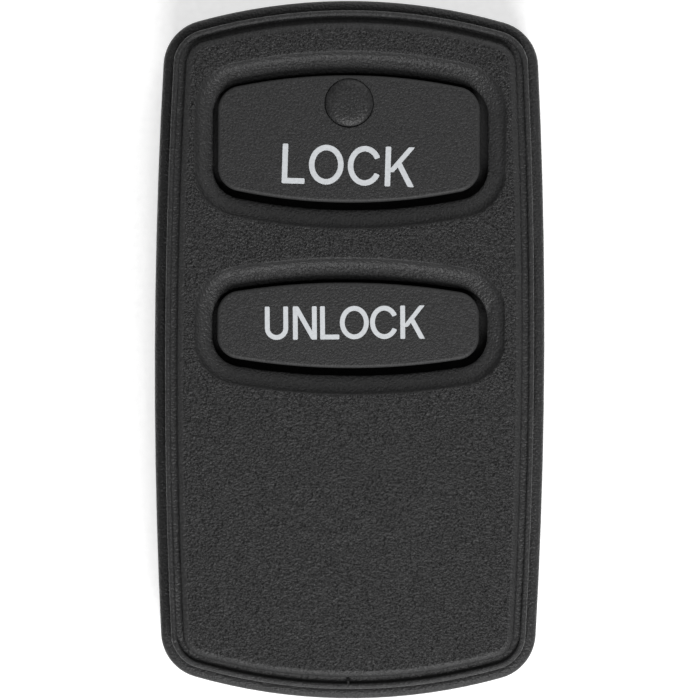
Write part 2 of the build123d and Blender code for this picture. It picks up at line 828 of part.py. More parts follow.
pieces = {
    "front_cover": front_cover,
    "rear_cover": rear_cover,
    "lock_button": lock_button,
    "unlock_button": unlock_button,
    "lamp_lens": lamp_lens,
    "button_pad": button_pad,
    "circuit_board": circuit_board,
    "loop_antenna": loop_antenna,
    "indicator_lamp": indicator_lamp,
    "microcontroller": microcontroller,
    "transmitter_chip": transmitter_chip,
    "crystal": crystal,
    "chip_capacitors": chip_capacitors,
    "chip_resistors": chip_resistors,
    "coin_cell": coin_cell,
    "battery_positive_contact": battery_positive_contact,
    "battery_negative_contact": battery_negative_contact,
    "cover_screw": cover_screw,
}
for key_name, key in (("lock", lock), ("unlock", unlock)):
    pieces[f"{key_name}_switch_body"] = switch_base(key)
    pieces[f"{key_name}_switch_cover"] = switch_cover(key)
    pieces[f"{key_name}_switch_dome"] = switch_dome(key)
    pieces[f"{key_name}_switch_plunger"] = switch_plunger(key)

os.makedirs("parts", exist_ok=True)
for name, builder in pieces.items():
    builder.part.label = name
    export_step(builder.part, f"parts/{name}.step")
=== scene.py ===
"""Car key fob: the looks of its case, keys, lens, lettering and inner parts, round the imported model.

Lengths are in metres, in the model's own frame: the rear face lies on Z = 0, the keys face +Z and +Y points
to the lock key's end. The camera looks straight down on the keys.
"""

import logging
import math
from collections import Counter, defaultdict
from collections.abc import Callable, Iterable, Iterator
from contextlib import contextmanager
from dataclasses import dataclass, field
from enum import Enum

import bpy
from mathutils import Euler, Matrix, Vector


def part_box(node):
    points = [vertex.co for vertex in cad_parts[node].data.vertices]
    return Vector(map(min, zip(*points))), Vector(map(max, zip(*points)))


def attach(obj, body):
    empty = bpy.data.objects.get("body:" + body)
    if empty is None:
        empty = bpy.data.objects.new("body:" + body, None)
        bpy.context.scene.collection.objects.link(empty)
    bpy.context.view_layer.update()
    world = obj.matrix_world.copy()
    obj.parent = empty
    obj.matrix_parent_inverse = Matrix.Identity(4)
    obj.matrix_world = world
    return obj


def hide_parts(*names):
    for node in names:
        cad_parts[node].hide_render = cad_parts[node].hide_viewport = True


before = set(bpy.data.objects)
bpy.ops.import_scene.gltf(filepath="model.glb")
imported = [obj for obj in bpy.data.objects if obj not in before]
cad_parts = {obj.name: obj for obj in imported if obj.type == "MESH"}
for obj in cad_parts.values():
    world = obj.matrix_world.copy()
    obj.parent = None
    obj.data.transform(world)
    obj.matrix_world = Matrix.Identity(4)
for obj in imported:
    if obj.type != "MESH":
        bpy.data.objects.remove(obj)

logging.basicConfig(level=logging.INFO, format="%(levelname)s %(message)s")
log = logging.getLogger("key_fob")

MM = 0.001
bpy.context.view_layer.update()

SHARP_ANGLE = math.radians(30)
QUARTER_TURN = math.radians(90)
MERGE_DISTANCE = 0.0005 * MM
LARGE_FACE_WEIGHT = 100
ROUND_SIDES = 96
UNIT_RADIUS = 0.5
EDGE_SAMPLES = 6
PLANE_CORNERS = (0, 1, 3, 2)

Colour = tuple[float, float, float]
Place = tuple[float, float, float]

WHITE: Colour = (1.0, 1.0, 1.0)


class Body(Enum):
    """The bodies that pieces ride on."""

    CASE = "case"
    LOCK_KEY = "lock_key"
    UNLOCK_KEY = "unlock_key"


class Mark(Enum):
    """The attributes that pieces carry for their finishes."""

    POLISHED = "polished"


class Element(Enum):
    """What can be selected of a mesh, as edit mode calls it."""

    VERTEX = "VERT"
    FACE = "FACE"


@dataclass(frozen=True)
class Photo:
    """How the photograph's pixels lie over the fob.

    Attributes:
        pixels: How many pixels the photograph has on each side.
        pixel_size: The size of one pixel on the fob.
        middle: The pixel over the middle of the fob, across and down.
        object_turn: How far the fob is turned in it, in degrees.
    """

    pixels: int = 700
    pixel_size: float = 0.08313 * MM
    middle: tuple[float, float] = (349.6, 349.65)
    object_turn: float = -0.25

    def place(self, across: float, down: float) -> Vector:
        """Returns the place in the fob's frame under a pixel.

        Args:
            across: The pixel's distance from the left edge.
            down: The pixel's distance from the top edge.

        Returns:
            The place, at height 0.
        """
        offset = Vector((across - self.middle[0], self.middle[1] - down, 0.0)) * self.pixel_size
        return Matrix.Rotation(-math.radians(self.object_turn), 3, "Z") @ offset


PHOTO = Photo()


class Socket:
    """A shader output that takes part in sums, so that shader maths reads as Python expressions."""

    def __init__(self, tree: bpy.types.NodeTree, output: bpy.types.NodeSocket) -> None:
        """Wraps an output of a node tree."""
        self.tree = tree
        self.output = output

    def combine(self, operation: str, *operands: "Socket | float") -> "Socket":
        """Adds a Math node.

        Args:
            operation: The Math node's operation.
            operands: Its inputs in order, as sockets or plain numbers.

        Returns:
            The node's output.
        """
        node = self.tree.nodes.new("ShaderNodeMath")
        node.operation = operation
        for slot, operand in zip(node.inputs, operands):
            if isinstance(operand, Socket):
                self.tree.links.new(operand.output, slot)
            else:
                slot.default_value = operand
        return Socket(self.tree, node.outputs[0])

    def __add__(self, other: "Socket | float") -> "Socket":
        """Returns self + other."""
        return self.combine("ADD", self, other)

    __radd__ = __add__

    def __sub__(self, other: "Socket | float") -> "Socket":
        """Returns self - other."""
        return self.combine("SUBTRACT", self, other)

    def __rsub__(self, other: float) -> "Socket":
        """Returns other - self."""
        return self.combine("SUBTRACT", other, self)

    def __mul__(self, other: "Socket | float") -> "Socket":
        """Returns self * other."""
        return self.combine("MULTIPLY", self, other)

    __rmul__ = __mul__

    def between(self, low: float, high: float) -> "Socket":
        """Stretches the range from low to high over 0 to 1, cut off at both ends.

        Args:
            low: The value that becomes 0.
            high: The value that becomes 1.

        Returns:
            The stretched value.
        """
        stretched = (self - low) * (1 / (high - low))
        return stretched.combine("MINIMUM", stretched.combine("MAXIMUM", stretched, 0.0), 1.0)


class Shader:
    """A material under construction, round its Principled BSDF."""

    def __init__(self, name: str) -> None:
        """Makes the material.

        Args:
            name: The material's name.
        """
        self.material = bpy.data.materials.new(name)
        self.material.use_nodes = True
        self.tree = self.material.node_tree
        self.surface = self.tree.nodes["Principled BSDF"]

    def node(
        self, kind: str, settings: dict[str, object] | None = None, output: str = "", **inputs: object
    ) -> Socket:
        """Adds any node.

        Args:
            kind: The node's type, without the ShaderNode in front.
            settings: The node's own settings, set before its sockets.
            output: The name of the wanted output, or nothing for the first one in use.
            inputs: Values or links of its sockets, by their names in lower case with underscores.

        Returns:
            The node's output.
        """
        made = self.tree.nodes.new("ShaderNode" + kind)
        for setting, value in (settings or {}).items():
            setattr(made, setting, value)
        slots = {slot.name.lower().replace(" ", "_"): slot for slot in reversed(made.inputs) if slot.enabled}
        for label, value in inputs.items():
            self.feed(slots[label], value)
        wanted = (slot for slot in made.outputs if slot.enabled and output in ("", slot.name))
        return Socket(self.tree, next(wanted))

    def feed(self, slot: bpy.types.NodeSocket, value: object) -> None:
        """Links or sets one input.

        Args:
            slot: The input.
            value: A Socket to link, or a number or colour to set.
        """
        if isinstance(value, Socket):
            self.tree.links.new(value.output, slot)
        elif isinstance(value, tuple) and len(value) == 3 and slot.type == "RGBA":
            slot.default_value = (*value, 1.0)
        else:
            slot.default_value = value

    def set(self, label: str, value: object) -> None:
        """Sets or links an input of the Principled BSDF."""
        self.feed(self.surface.inputs[label], value)

    def place(self) -> Socket:
        """Returns the coordinates that every pattern reads, in metres."""
        return self.node("TexCoord", output="Object")

    def marked(self, mark: Mark) -> Socket:
        """Returns how strongly a piece is marked, from 0 to 1."""
        return self.node("Attribute", {"attribute_name": mark.value}, output="Fac")

    def noise(self, size: float, detail: float, roughness: float = 0.5) -> Socket:
        """Adds a noise pattern.

        Args:
            size: About how far apart its peaks lie, in metres.
            detail: How many finer layers it has.
            roughness: How strong the finer layers are.

        Returns:
            The pattern's value, round 0.5.
        """
        return self.node("TexNoise", vector=self.place(), scale=1 / size, detail=detail, roughness=roughness)

    def bump(self, height: Socket, depth: float, edge_radius: float) -> None:
        """Raises the surface by a pattern, with its edges softened.

        Args:
            height: The pattern.
            depth: How deep a change from 0 to 1 is, in metres.
            edge_radius: How far from an edge the shading turns into its neighbour's.
        """
        rounded = self.node("Bevel", {"samples": EDGE_SAMPLES}, radius=edge_radius)
        self.set("Normal", self.node("Bump", height=height, distance=depth, normal=rounded))

    def darken_by_mask(self, colour: Colour, share: float, mask: Socket) -> None:
        """Colours the surface, with each part of the colour multiplied by a share where the mask is 1."""
        other = tuple(part * share for part in colour)
        self.set("Base Color", self.node("Mix", {"data_type": "RGBA"}, factor=mask, a=colour, b=other))

    def roughen(self, roughness: float, change: float, pattern: Socket) -> None:
        """Lets the roughness change with a pattern, round its mean."""
        self.set("Roughness", pattern * change + (roughness - change / 2))


@dataclass(frozen=True)
class BaseFinish:
    """What every finish has.

    Attributes:
        name: The material's name.
        colour: The main colour.
        roughness: The mean roughness.
    """

    name: str
    colour: Colour
    roughness: float


@dataclass(frozen=True)
class MouldedPlastic(BaseFinish):
    """Black moulded plastic with a grain from the tool that made it.

    Attributes:
        grain_size: How far apart the grain's peaks lie.
        grain_depth: How deep the grain is.
        fine_size: How far apart the peaks of the finer grain on it lie.
        fine_depth: How deep the finer grain is.
        edge_radius: How far edges are softened.
        specular: How strongly the surface shines.
        shade_change: How much darker the painted shade makes the grain's pits.
        detail: How many finer layers each pattern has.
        polish: How much weaker the grain and its painted pit shade are on polished faces.
        pit_floor: The sum of both patterns at which a pit's painted shade is darkest.
        pit_rim: The sum of both patterns at which a pit and its painted shade end.
        roughness_change: How much the roughness changes with the finer grain.
    """

    grain_size: float
    grain_depth: float
    fine_size: float
    fine_depth: float
    edge_radius: float
    specular: float
    shade_change: float
    detail: float = 1.0
    polish: float = 0.55
    pit_floor: float = 0.72
    pit_rim: float = 1.28
    roughness_change: float = 0.16

    def material(self) -> bpy.types.Material:
        """Makes the material, with painted shade in the grain's pits. The grain is weaker on polished faces,
        which are lighter because they carry less of that painted shade.

        Returns:
            The material.
        """
        shader = Shader(self.name)
        grain = shader.noise(self.grain_size, self.detail)
        fine = shader.noise(self.fine_size, self.detail)
        share = 1.0 - shader.marked(Mark.POLISHED) * self.polish
        height = grain + fine * (self.fine_depth / self.grain_depth)
        shader.bump(height * share, self.grain_depth, self.edge_radius)
        # Painted shade: the grain's pits are darkened in the base colour, less so on polished faces.
        painted_pit_shade = 1.0 - (grain + fine).between(self.pit_floor, self.pit_rim)
        shader.darken_by_mask(self.colour, 1 - self.shade_change, painted_pit_shade * share)
        shader.roughen(self.roughness, self.roughness_change, fine)
        shader.set("Specular IOR Level", self.specular)
        return shader.material


@dataclass(frozen=True)
class Metal(BaseFinish):
    """Plated or polished metal with fine scratches.

    Attributes:
        scratch_size: How far apart the scratches lie.
        scratch_depth: How deep they are.
        scratch_detail: How many finer layers they have.
        scratch_roughness: How strong the finer layers are.
        edge_radius: How far edges are softened.
        shade_change: How much darker the metal is between scratches.
        roughness_change: How much the roughness changes with them.
    """

    scratch_size: float = 0.06 * MM
    scratch_depth: float = 0.004 * MM
    scratch_detail: float = 4.0
    scratch_roughness: float = 0.7
    edge_radius: float = 0.03 * MM
    shade_change: float = 0.2
    roughness_change: float = 0.2

    def material(self) -> bpy.types.Material:
        """Makes the material.

        Returns:
            The material.
        """
        shader = Shader(self.name)
        scratch = shader.noise(self.scratch_size, self.scratch_detail, self.scratch_roughness)
        shader.bump(scratch, self.scratch_depth, self.edge_radius)
        shader.darken_by_mask(self.colour, 1 - self.shade_change, 1.0 - scratch)
        shader.roughen(self.roughness, self.roughness_change, scratch)
        shader.set("Metallic", 1.0)
        return shader.material


@dataclass(frozen=True)
class Smooth(BaseFinish):
    """A smooth non-metal, such as rubber, paint, solder mask or tinted epoxy.

    Attributes:
        specular: How strongly the surface shines.
        ripple_size: How far apart its faint ripples lie.
        ripple_depth: How deep they are.
        ripple_detail: How many finer layers they have.
        ripple_floor: The pattern's value where a dip is darkest.
        ripple_crest: The pattern's value where a dip ends.
        glow: How strongly the surface shines by itself.
        glow_colour: The colour of that light.
        edge_radius: How far edges are softened.
        shade_change: How much darker the dips are.
        roughness_change: How much the roughness changes with the ripples.
    """

    specular: float = 0.5
    ripple_size: float = 0.5 * MM
    ripple_depth: float = 0.004 * MM
    ripple_detail: float = 3.0
    ripple_floor: float = 0.3
    ripple_crest: float = 0.7
    glow: float = 0.0
    glow_colour: Colour = WHITE
    edge_radius: float = 0.04 * MM
    shade_change: float = 0.15
    roughness_change: float = 0.1

    def material(self) -> bpy.types.Material:
        """Makes the material, which glows by itself where it has a glow.

        Returns:
            The material.
        """
        shader = Shader(self.name)
        ripple = shader.noise(self.ripple_size, self.ripple_detail)
        shader.bump(ripple, self.ripple_depth, self.edge_radius)
        dips = 1.0 - ripple.between(self.ripple_floor, self.ripple_crest)
        shader.darken_by_mask(self.colour, 1 - self.shade_change, dips)
        shader.roughen(self.roughness, self.roughness_change, ripple)
        shader.set("Specular IOR Level", self.specular)
        shader.set("Emission Color", self.glow_colour)
        shader.set("Emission Strength", self.glow)
        return shader.material


Finish = MouldedPlastic | Metal | Smooth


def deselect_all() -> None:
    """Leaves object mode with nothing selected."""
    if bpy.context.object and bpy.context.object.mode != "OBJECT":
        bpy.ops.object.mode_set(mode="OBJECT")
    bpy.ops.object.select_all(action="DESELECT")


def choose(piece: bpy.types.Object) -> None:
    """Selects one object alone and makes it the active one.

    Args:
        piece: The object.
    """
    deselect_all()
    piece.hide_set(False)
    piece.select_set(True)
    bpy.context.view_layer.objects.active = piece


@contextmanager
def edit_mode(everything: bool = True) -> Iterator[None]:
    """Opens the active piece in edit mode for the time of a with block.

    Args:
        everything: Whether all of the piece is selected first.
    """
    bpy.ops.object.mode_set(mode="EDIT")
    if everything:
        bpy.ops.mesh.select_all(action="SELECT")
    yield
    bpy.ops.object.mode_set(mode="OBJECT")


def select_only(piece: bpy.types.Object, element: Element, numbers: Iterable[int]) -> None:
    """Selects some vertices or faces of a piece and nothing else.

    Args:
        piece: The piece.
        element: Whether the numbers are of vertices or of faces.
        numbers: Their numbers in the piece's mesh.
    """
    choose(piece)
    with edit_mode(everything=False):
        bpy.ops.mesh.select_mode(type=element.value)
        bpy.ops.mesh.select_all(action="DESELECT")
    parts = piece.data.polygons if element is Element.FACE else piece.data.vertices
    for number in numbers:
        parts[number].select = True


def settle(piece: bpy.types.Object) -> None:
    """Moves a piece's place, turn and size into its mesh."""
    choose(piece)
    bpy.ops.object.transform_apply(location=True, rotation=True, scale=True)


def dress(piece: bpy.types.Object, material: bpy.types.Material) -> None:
    """Gives a piece one material."""
    piece.data.materials.clear()
    piece.data.materials.append(material)


def smooth(piece: bpy.types.Object) -> None:
    """Shades a piece smooth, but sharp where its faces meet at a wide angle."""
    choose(piece)
    bpy.ops.object.shade_smooth_by_angle(angle=SHARP_ANGLE)


def turned(name: str, axis: Vector, profile: list[tuple[float, float]]) -> bpy.types.Object:
    """Models a round piece about an upright axis.

    Args:
        name: The piece's name.
        axis: A point on its axis.
        profile: The radius and height of each ring, from the foot up.

    Returns:
        The piece, closed at both ends.
    """
    deselect_all()
    radius, height = profile[0]
    bpy.ops.mesh.primitive_circle_add(
        vertices=ROUND_SIDES, radius=radius, fill_type="NGON", location=(axis.x, axis.y, height)
    )
    piece = bpy.context.object
    piece.name = name
    settle(piece)
    with edit_mode():
        for next_radius, next_height in profile[1:]:
            raised = (0.0, 0.0, next_height - height)
            bpy.ops.mesh.extrude_region_move(TRANSFORM_OT_translate={"value": raised})
            share = next_radius / radius
            bpy.ops.transform.resize(value=(share, share, 1.0), center_override=(axis.x, axis.y, next_height))
            radius, height = next_radius, next_height
        bpy.ops.mesh.select_all(action="SELECT")
        bpy.ops.mesh.normals_make_consistent(inside=False)
    return piece


@dataclass(frozen=True)
class Crown:
    """The gentle ball shape that the case's face and the keys share.

    Attributes:
        radius: The ball's radius.
        top: The height of the case's face at its middle.
        tolerance: How far from the ball the vertices of a face on it can lie.
        least_agreement: The least cosine between such a face's normal and the ball's.
    """

    radius: float = 420 * MM
    top: float = 12.35 * MM
    tolerance: float = 0.004 * MM
    least_agreement: float = 0.99

    @property
    def centre(self) -> Vector:
        """The middle of the ball."""
        return Vector((0.0, 0.0, self.top - self.radius))

    def height(self, x: float, y: float, lift: float = 0.0) -> float:
        """Returns the crown's height at a place, raised by a lift."""
        return self.centre.z + math.sqrt((self.radius + lift) ** 2 - x**2 - y**2)

    def carries(self, mesh: bpy.types.Mesh, face: bpy.types.MeshPolygon, lift: float = 0.0) -> bool:
        """Tells whether a face lies on the crown.

        Args:
            mesh: The mesh of a piece.
            face: One of its faces.
            lift: How far the crown is raised.

        Returns:
            Whether the face lies on it.
        """
        spokes = [mesh.vertices[vertex].co - self.centre for vertex in face.vertices]
        near = all(abs(spoke.length - self.radius - lift) < self.tolerance for spoke in spokes)
        return near and face.normal.dot(spokes[0].normalized()) > self.least_agreement

    def round_off(self, mesh: bpy.types.Mesh, lifts: tuple[float, ...]) -> None:
        """Shades the faces that lie on the crown as the smooth ball that they stand for.

        Args:
            mesh: The mesh of a piece.
            lifts: How far its crowned faces stand above the case's face.
        """
        normals = [corner.vector.copy() for corner in mesh.corner_normals]
        for face in mesh.polygons:
            if any(self.carries(mesh, face, lift) for lift in lifts):
                for corner in face.loop_indices:
                    spoke = mesh.vertices[mesh.loops[corner].vertex_index].co - self.centre
                    normals[corner] = spoke.normalized()
        mesh.normals_split_custom_set(normals)


CROWN = Crown()
KEY_LIFT = 0.25 * MM


@dataclass(frozen=True)
class Flank:
    """The straight ends of a key's dished surround, which stand a little past its rounded corners.

    Attributes:
        low: Where the straight ends start in Y.
        high: Where they end in Y.
        reach: How far from the middle the corners end in X.
        outer_reach: How far from the middle the straight ends can lie in X.
        depth: How far under the face the rim of the surround can lie.
        slack: How exactly the places are met.
    """

    low: float
    high: float
    reach: float
    outer_reach: float = 13.04 * MM
    depth: float = 0.25 * MM
    slack: float = 0.005 * MM

    def draw_in(self, mesh: bpy.types.Mesh) -> None:
        """Moves both ends of the surround in, until they meet the corners without a step.

        Args:
            mesh: The front shell's mesh.
        """
        for vertex in mesh.vertices:
            x, y, z = vertex.co
            beside = self.low - self.slack < y < self.high + self.slack
            outside = self.reach - self.slack < abs(x) < self.outer_reach
            if beside and outside and z > CROWN.height(x, y, -self.depth):
                x = math.copysign(self.reach, x)
                vertex.co = (x, y, CROWN.height(x, y))


@dataclass(frozen=True)
class Opening:
    """A key's opening, whose upper edge stands nearer the key than the solid's does.

    Attributes:
        middle: Where its upper half starts in Y.
        high: Where its upper half ends in Y.
        shift: How far its upper edge moves down.
    """

    middle: float
    high: float
    shift: float

    def narrow(self, place: Vector) -> None:
        """Moves a place on the opening's edge down, if it is on its upper half."""
        if self.middle < place.y < self.high:
            place.y -= self.shift


@dataclass(frozen=True)
class Dishes:
    """The dished surrounds of the keys' openings.

    Attributes:
        half_width: How far from the middle they reach in X.
        low: Where they start in Y.
        high: Where they end in Y.
        fall: How far their floors slope down towards the openings.
        least_drop: The least that their floors lie under the face.
        most_drop: The most that their floors lie under the face.
        level: The least upward part of a floor's normal.
        upright: The greatest upward part of a wall's normal.
        openings: The openings in them.
    """

    half_width: float = 13.2 * MM
    low: float = -3.6 * MM
    high: float = 24.9 * MM
    fall: float = 0.2 * MM
    least_drop: float = 0.6 * MM
    most_drop: float = 0.95 * MM
    level: float = 0.9
    upright: float = 0.2
    openings: tuple[Opening, ...] = (
        Opening(middle=17.5 * MM, high=24.9 * MM, shift=0.28 * MM),
        Opening(middle=2.0 * MM, high=8.0 * MM, shift=0.22 * MM),
    )

    def hold(self, place: Vector) -> bool:
        """Tells whether a place lies within the surrounds."""
        return abs(place.x) < self.half_width and self.low < place.y < self.high

    def mend(self, mesh: bpy.types.Mesh) -> None:
        """Slopes the surrounds' floors down towards the openings, and narrows these.

        Args:
            mesh: The front shell's mesh.
        """
        walls: set[int] = set()
        floors: set[int] = set()
        for face in mesh.polygons:
            if abs(face.normal.z) < self.upright:
                walls.update(face.vertices)
            elif face.normal.z > self.level:
                floors.update(face.vertices)
        for index in walls & floors:
            place = mesh.vertices[index].co
            drop = CROWN.height(place.x, place.y) - place.z
            if self.hold(place) and self.least_drop < drop < self.most_drop:
                place.z -= self.fall
                for opening in self.openings:
                    opening.narrow(place)


def mark_polished(mesh: bpy.types.Mesh, grained: Callable[[bpy.types.MeshPolygon], bool]) -> None:
    """Marks the faces that lack the full grain as polished.

    Args:
        mesh: The mesh of a piece.
        grained: Tells whether a face has the full grain.
    """
    polished = mesh.attributes.new(Mark.POLISHED.value, "FLOAT", "FACE")
    for face in mesh.polygons:
        polished.data[face.index].value = 0.0 if grained(face) else 1.0


def merged_copy(
    node: str,
    name: str,
    body: Body,
    lifts: tuple[float, ...] = (),
    mend: Callable[[bpy.types.Mesh], None] | None = None,
) -> bpy.types.Object:
    """Makes the piece that stands for a node whose shape is right, with its triangles joined and smoothed.

    Args:
        node: The node.
        name: The new piece's name.
        body: The body that it rides on.
        lifts: How far its crowned faces stand above the case's face.
        mend: Changes the merged mesh before it is shaded.

    Returns:
        The new piece.
    """
    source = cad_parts[node]
    piece = bpy.data.objects.new(name, source.data.copy())
    bpy.context.scene.collection.objects.link(piece)
    choose(piece)
    with edit_mode():
        bpy.ops.mesh.remove_doubles(threshold=MERGE_DISTANCE)
    if mend:
        mend(piece.data)
    smooth(piece)
    shading = piece.modifiers.new("large faces lead", "WEIGHTED_NORMAL")
    shading.mode = "FACE_AREA"
    shading.weight = LARGE_FACE_WEIGHT
    shading.keep_sharp = True
    bpy.ops.object.modifier_apply(modifier=shading.name)
    if lifts:
        CROWN.round_off(piece.data, lifts)
    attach(piece, body.value)
    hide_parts(node)
    return piece


@dataclass
class Case:
    """The two halves of the case and the screw that holds them together.

    Attributes:
        grain: The finish of both halves.
        screw_finish: The finish of the screw.
        groove_drop: How far the groove round the face lies under it.
        rear_facing: The least rearward part of the normal of a grained face of the rear half.
        foot_top: The height under which the outer wall of the front half has its foot.
        draft: How far the foot is drawn in.
        gate_width: The width of the moulding gate's stub.
        gate_length: Its length.
        gate_height: Its height.
        gate_y: Where it lies in Y.
        gate_drop: How far its middle lies under the face.
        gate_segments: How many sides stand for its round.
        gate_rings: How many rings it has from end to end.
        dishes: The surrounds of the keys.
        flanks: The straight ends of each surround.
    """

    grain: MouldedPlastic = MouldedPlastic(
        name="grained_plastic",
        colour=(0.034, 0.034, 0.0345),
        roughness=0.4,
        grain_size=0.2 * MM,
        grain_depth=0.2 * MM,
        fine_size=0.12 * MM,
        fine_depth=0.08 * MM,
        edge_radius=0.38 * MM,
        specular=0.2,
        shade_change=0.85,
    )
    screw_finish: Metal = Metal(name="screw_steel", colour=(0.12, 0.12, 0.125), roughness=0.38)
    groove_drop: float = 0.95 * MM
    rear_facing: float = 0.7
    foot_top: float = 7.1 * MM
    draft: float = 0.13 * MM
    gate_width: float = 0.22 * MM
    gate_length: float = 0.95 * MM
    gate_height: float = 0.3 * MM
    gate_y: float = -27.45 * MM
    gate_drop: float = 0.62 * MM
    gate_segments: int = 24
    gate_rings: int = 12
    dishes: Dishes = Dishes()
    flanks: tuple[Flank, ...] = (
        Flank(low=14.705 * MM, high=19.955 * MM, reach=12.907 * MM),
        Flank(low=0.165 * MM, high=3.695 * MM, reach=12.804 * MM),
    )

    def build(self) -> None:
        """Builds and dresses the case."""
        material = self.grain.material()
        lifts = (0.0, -self.groove_drop)
        front = merged_copy("front_cover", "front_cover_shell", Body.CASE, lifts, self.mend_front)
        rear = merged_copy("rear_cover", "rear_cover_shell", Body.CASE)
        mark_polished(front.data, lambda face: CROWN.carries(front.data, face))
        mark_polished(rear.data, lambda face: face.normal.z < -self.rear_facing)
        for piece in (front, rear):
            dress(piece, material)
            log.info("%s dressed", piece.name)
        screw = merged_copy("cover_screw", "cover_screw_plated", Body.CASE)
        dress(screw, self.screw_finish.material())
        log.info("%s stands for cover_screw", screw.name)
        dress(self.gate_mark(), material)

    def mend_front(self, mesh: bpy.types.Mesh) -> None:
        """Mends the surrounds, and draws in the outer wall's foot, so that the wall stands upright.

        Args:
            mesh: The front shell's mesh.
        """
        for flank in self.flanks:
            flank.draw_in(mesh)
        self.dishes.mend(mesh)
        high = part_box("front_cover")[1]
        for vertex in mesh.vertices:
            if vertex.co.z < self.foot_top:
                vertex.co.x *= 1 - self.draft / high[0]
                vertex.co.y *= 1 - self.draft / high[1]

    def gate_mark(self) -> bpy.types.Object:
        """Models the trimmed stub that moulding left across the groove at the lower end.

        Returns:
            The stub.
        """
        deselect_all()
        bpy.ops.mesh.primitive_uv_sphere_add(
            segments=self.gate_segments,
            ring_count=self.gate_rings,
            radius=UNIT_RADIUS,
            location=(0.0, self.gate_y, CROWN.height(0.0, self.gate_y, -self.gate_drop)),
        )
        stub = bpy.context.object
        stub.name = "gate_mark"
        stub.scale = (self.gate_width, self.gate_length, self.gate_height)
        settle(stub)
        smooth(stub)
        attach(stub, Body.CASE.value)
        log.info("%s modelled", stub.name)
        return stub


